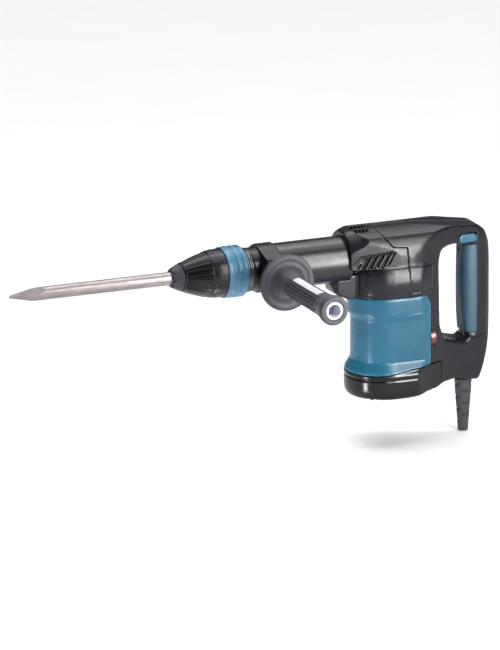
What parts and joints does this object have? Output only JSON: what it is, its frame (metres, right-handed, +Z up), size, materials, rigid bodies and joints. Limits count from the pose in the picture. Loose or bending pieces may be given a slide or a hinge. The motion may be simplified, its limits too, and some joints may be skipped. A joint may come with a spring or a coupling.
{
  "type": "demolition hammer",
  "caption": "Corded demolition hammer with a pointed bit, quick-change chuck, swivelling side grip, vertical motor housing and closed rear D-handle with slide switch.",
  "frame": {"origin": "centre of the nose face, where the tool bit leaves the chuck, on the barrel axis", "axes": "+X rearwards along the barrel to the rear handle, +Z up, -Y to the side where the side grip stands"},
  "size_m": [0.7032, 0.293, 0.3014],
  "materials": {
    "charcoal_plastic": "satin moulded, fine grain",
    "black_plastic": "satin moulded, fine grain",
    "teal_plastic": "satin moulded, fine grain",
    "ring_teal": "satin moulded",
    "teal_rubber": "matte soft moulding",
    "black_rubber": "matte soft moulding",
    "red_plastic": "gloss",
    "white_plastic": "satin",
    "label_film": "blank film",
    "bit_steel": "ground, oiled",
    "bright_steel": "ground",
    "dark_steel": "phosphated",
    "cast_aluminium": "die cast",
    "barrel_metal": "dark satin paint over cast metal",
    "laminated_steel": "stacked sheet",
    "copper_wire": "enamelled wire",
    "brass": "stamped",
    "carbon": "pressed carbon"
  },
  "bodies": {
    "housing": {"barrel": "barrel_metal", "front_ring": "cast_aluminium", "cylinder": "bright_steel", "crank_cover": "charcoal_plastic", "crank_case": "cast_aluminium", "crank_bearings": "bright_steel", "motor_housing": "teal_plastic", "stator": "laminated_steel", "stator_coils": "copper_wire", "motor_bearings": "bright_steel", "brush_holders": "brass", "carbon_brushes": "carbon", "base_cover": "black_plastic", "base_screws": "dark_steel", "handle_left": "charcoal_plastic", "handle_right": "charcoal_plastic", "handle_screws": "dark_steel", "soft_grip": "teal_rubber", "switch_body": "black_plastic", "speed_controller": "black_plastic", "cord_guard": "black_rubber", "cord_clamp": "black_plastic"},
    "tool_holder": {"tool_holder": "dark_steel", "lock_rollers": "bright_steel", "spring_seat": "dark_steel", "nose_cap": "black_rubber", "release_spring": "bright_steel"},
    "release_cover": {"release_cover": "charcoal_plastic", "roller_ring": "dark_steel"},
    "change_ring": {"change_ring": "ring_teal"},
    "bit": {"bull_point_bit": "bit_steel"},
    "impact_bolt": {"impact_bolt": "bright_steel"},
    "striker": {"striker": "bright_steel", "striker_ring": "black_rubber"},
    "piston": {"piston": "cast_aluminium", "piston_ring": "black_rubber", "wrist_pin": "bright_steel"},
    "connecting_rod": {"connecting_rod": "cast_aluminium"},
    "armature": {"armature_core": "laminated_steel", "armature_windings": "copper_wire", "commutator": "brass", "motor_shaft": "bright_steel", "fan": "black_plastic"},
    "crank": {"crank_shaft": "bright_steel", "crank_gear": "bright_steel"},
    "handle_band": {"handle_band": "charcoal_plastic", "band_bolt": "bright_steel", "clamp_nut": "dark_steel"},
    "grip_arm": {"grip_arm": "dark_steel"},
    "side_grip": {"grip_core": "white_plastic", "grip_sleeve": "black_rubber", "grip_label": "label_film"},
    "switch_lever": {"switch_lever": "teal_plastic"},
    "speed_dial": {"speed_dial": "red_plastic"}
  },
  "joints": [
    {"name": "bit_angle", "type": "hinge", "parent": "housing", "child": "tool_holder", "pos_m": [0.05, 0, 0], "axis": [1, 0, 0], "continuous": true},
    {"name": "release_cover_slide", "type": "slide", "parent": "tool_holder", "child": "release_cover", "axis": [1, 0, 0], "range_m": [0, 0.009], "stiffness_N_per_m": 1500, "springref_m": -0.008, "deforming": ["release_spring"]},
    {"name": "change_ring_slide", "type": "slide", "parent": "tool_holder", "child": "change_ring", "axis": [-1, 0, 0], "range_m": [0, 0.004], "stiffness_N_per_m": 1000, "springref_m": -0.008},
    {"name": "bit_slide", "type": "slide", "parent": "tool_holder", "child": "bit", "axis": [-1, 0, 0], "range_m": [0, 0.022]},
    {"name": "impact_bolt_slide", "type": "slide", "parent": "tool_holder", "child": "impact_bolt", "axis": [-1, 0, 0], "range_m": [0, 0.005]},
    {"name": "striker_slide", "type": "slide", "parent": "housing", "child": "striker", "axis": [1, 0, 0], "range_m": [0, 0.01]},
    {"name": "piston_slide", "type": "slide", "parent": "housing", "child": "piston", "axis": [1, 0, 0], "range_m": [0, 0.026]},
    {"name": "rod_swing", "type": "hinge", "parent": "piston", "child": "connecting_rod", "pos_m": [0.215, 0, 0], "axis": [0, 0, 1], "range_deg": [-12.5, 12.5]},
    {"name": "armature_spin", "type": "hinge", "parent": "housing", "child": "armature", "pos_m": [0.313, 0, -0.11], "axis": [0, 0, 1], "continuous": true},
    {"name": "crank_spin", "type": "hinge", "parent": "housing", "child": "crank", "pos_m": [0.288, 0, -0.05], "axis": [0, 0, 1], "continuous": true},
    {"name": "band_turn", "type": "hinge", "parent": "housing", "child": "handle_band", "pos_m": [0.135, 0, 0], "axis": [1, 0, 0], "continuous": true},
    {"name": "grip_tilt", "type": "hinge", "parent": "handle_band", "child": "grip_arm", "pos_m": [0.135, -0.058, 0], "axis": [0, 0, 1], "range_deg": [-30, 30]},
    {"name": "grip_turn", "type": "hinge", "parent": "grip_arm", "child": "side_grip", "pos_m": [0.135, -0.16, 0], "axis": [0, -1, 0], "continuous": true},
    {"name": "switch_slide", "type": "slide", "parent": "housing", "child": "switch_lever", "axis": [0, 1, 0], "range_m": [0, 0.006]},
    {"name": "speed_dial_turn", "type": "hinge", "parent": "housing", "child": "speed_dial", "pos_m": [0.3702, -0.0285, -0.114], "axis": [1, 0, 0], "range_deg": [0, 270]}
  ],
  "couplings": [
    {"joint": "crank_spin", "follows": "armature_spin", "ratio": -0.25}
  ]
}
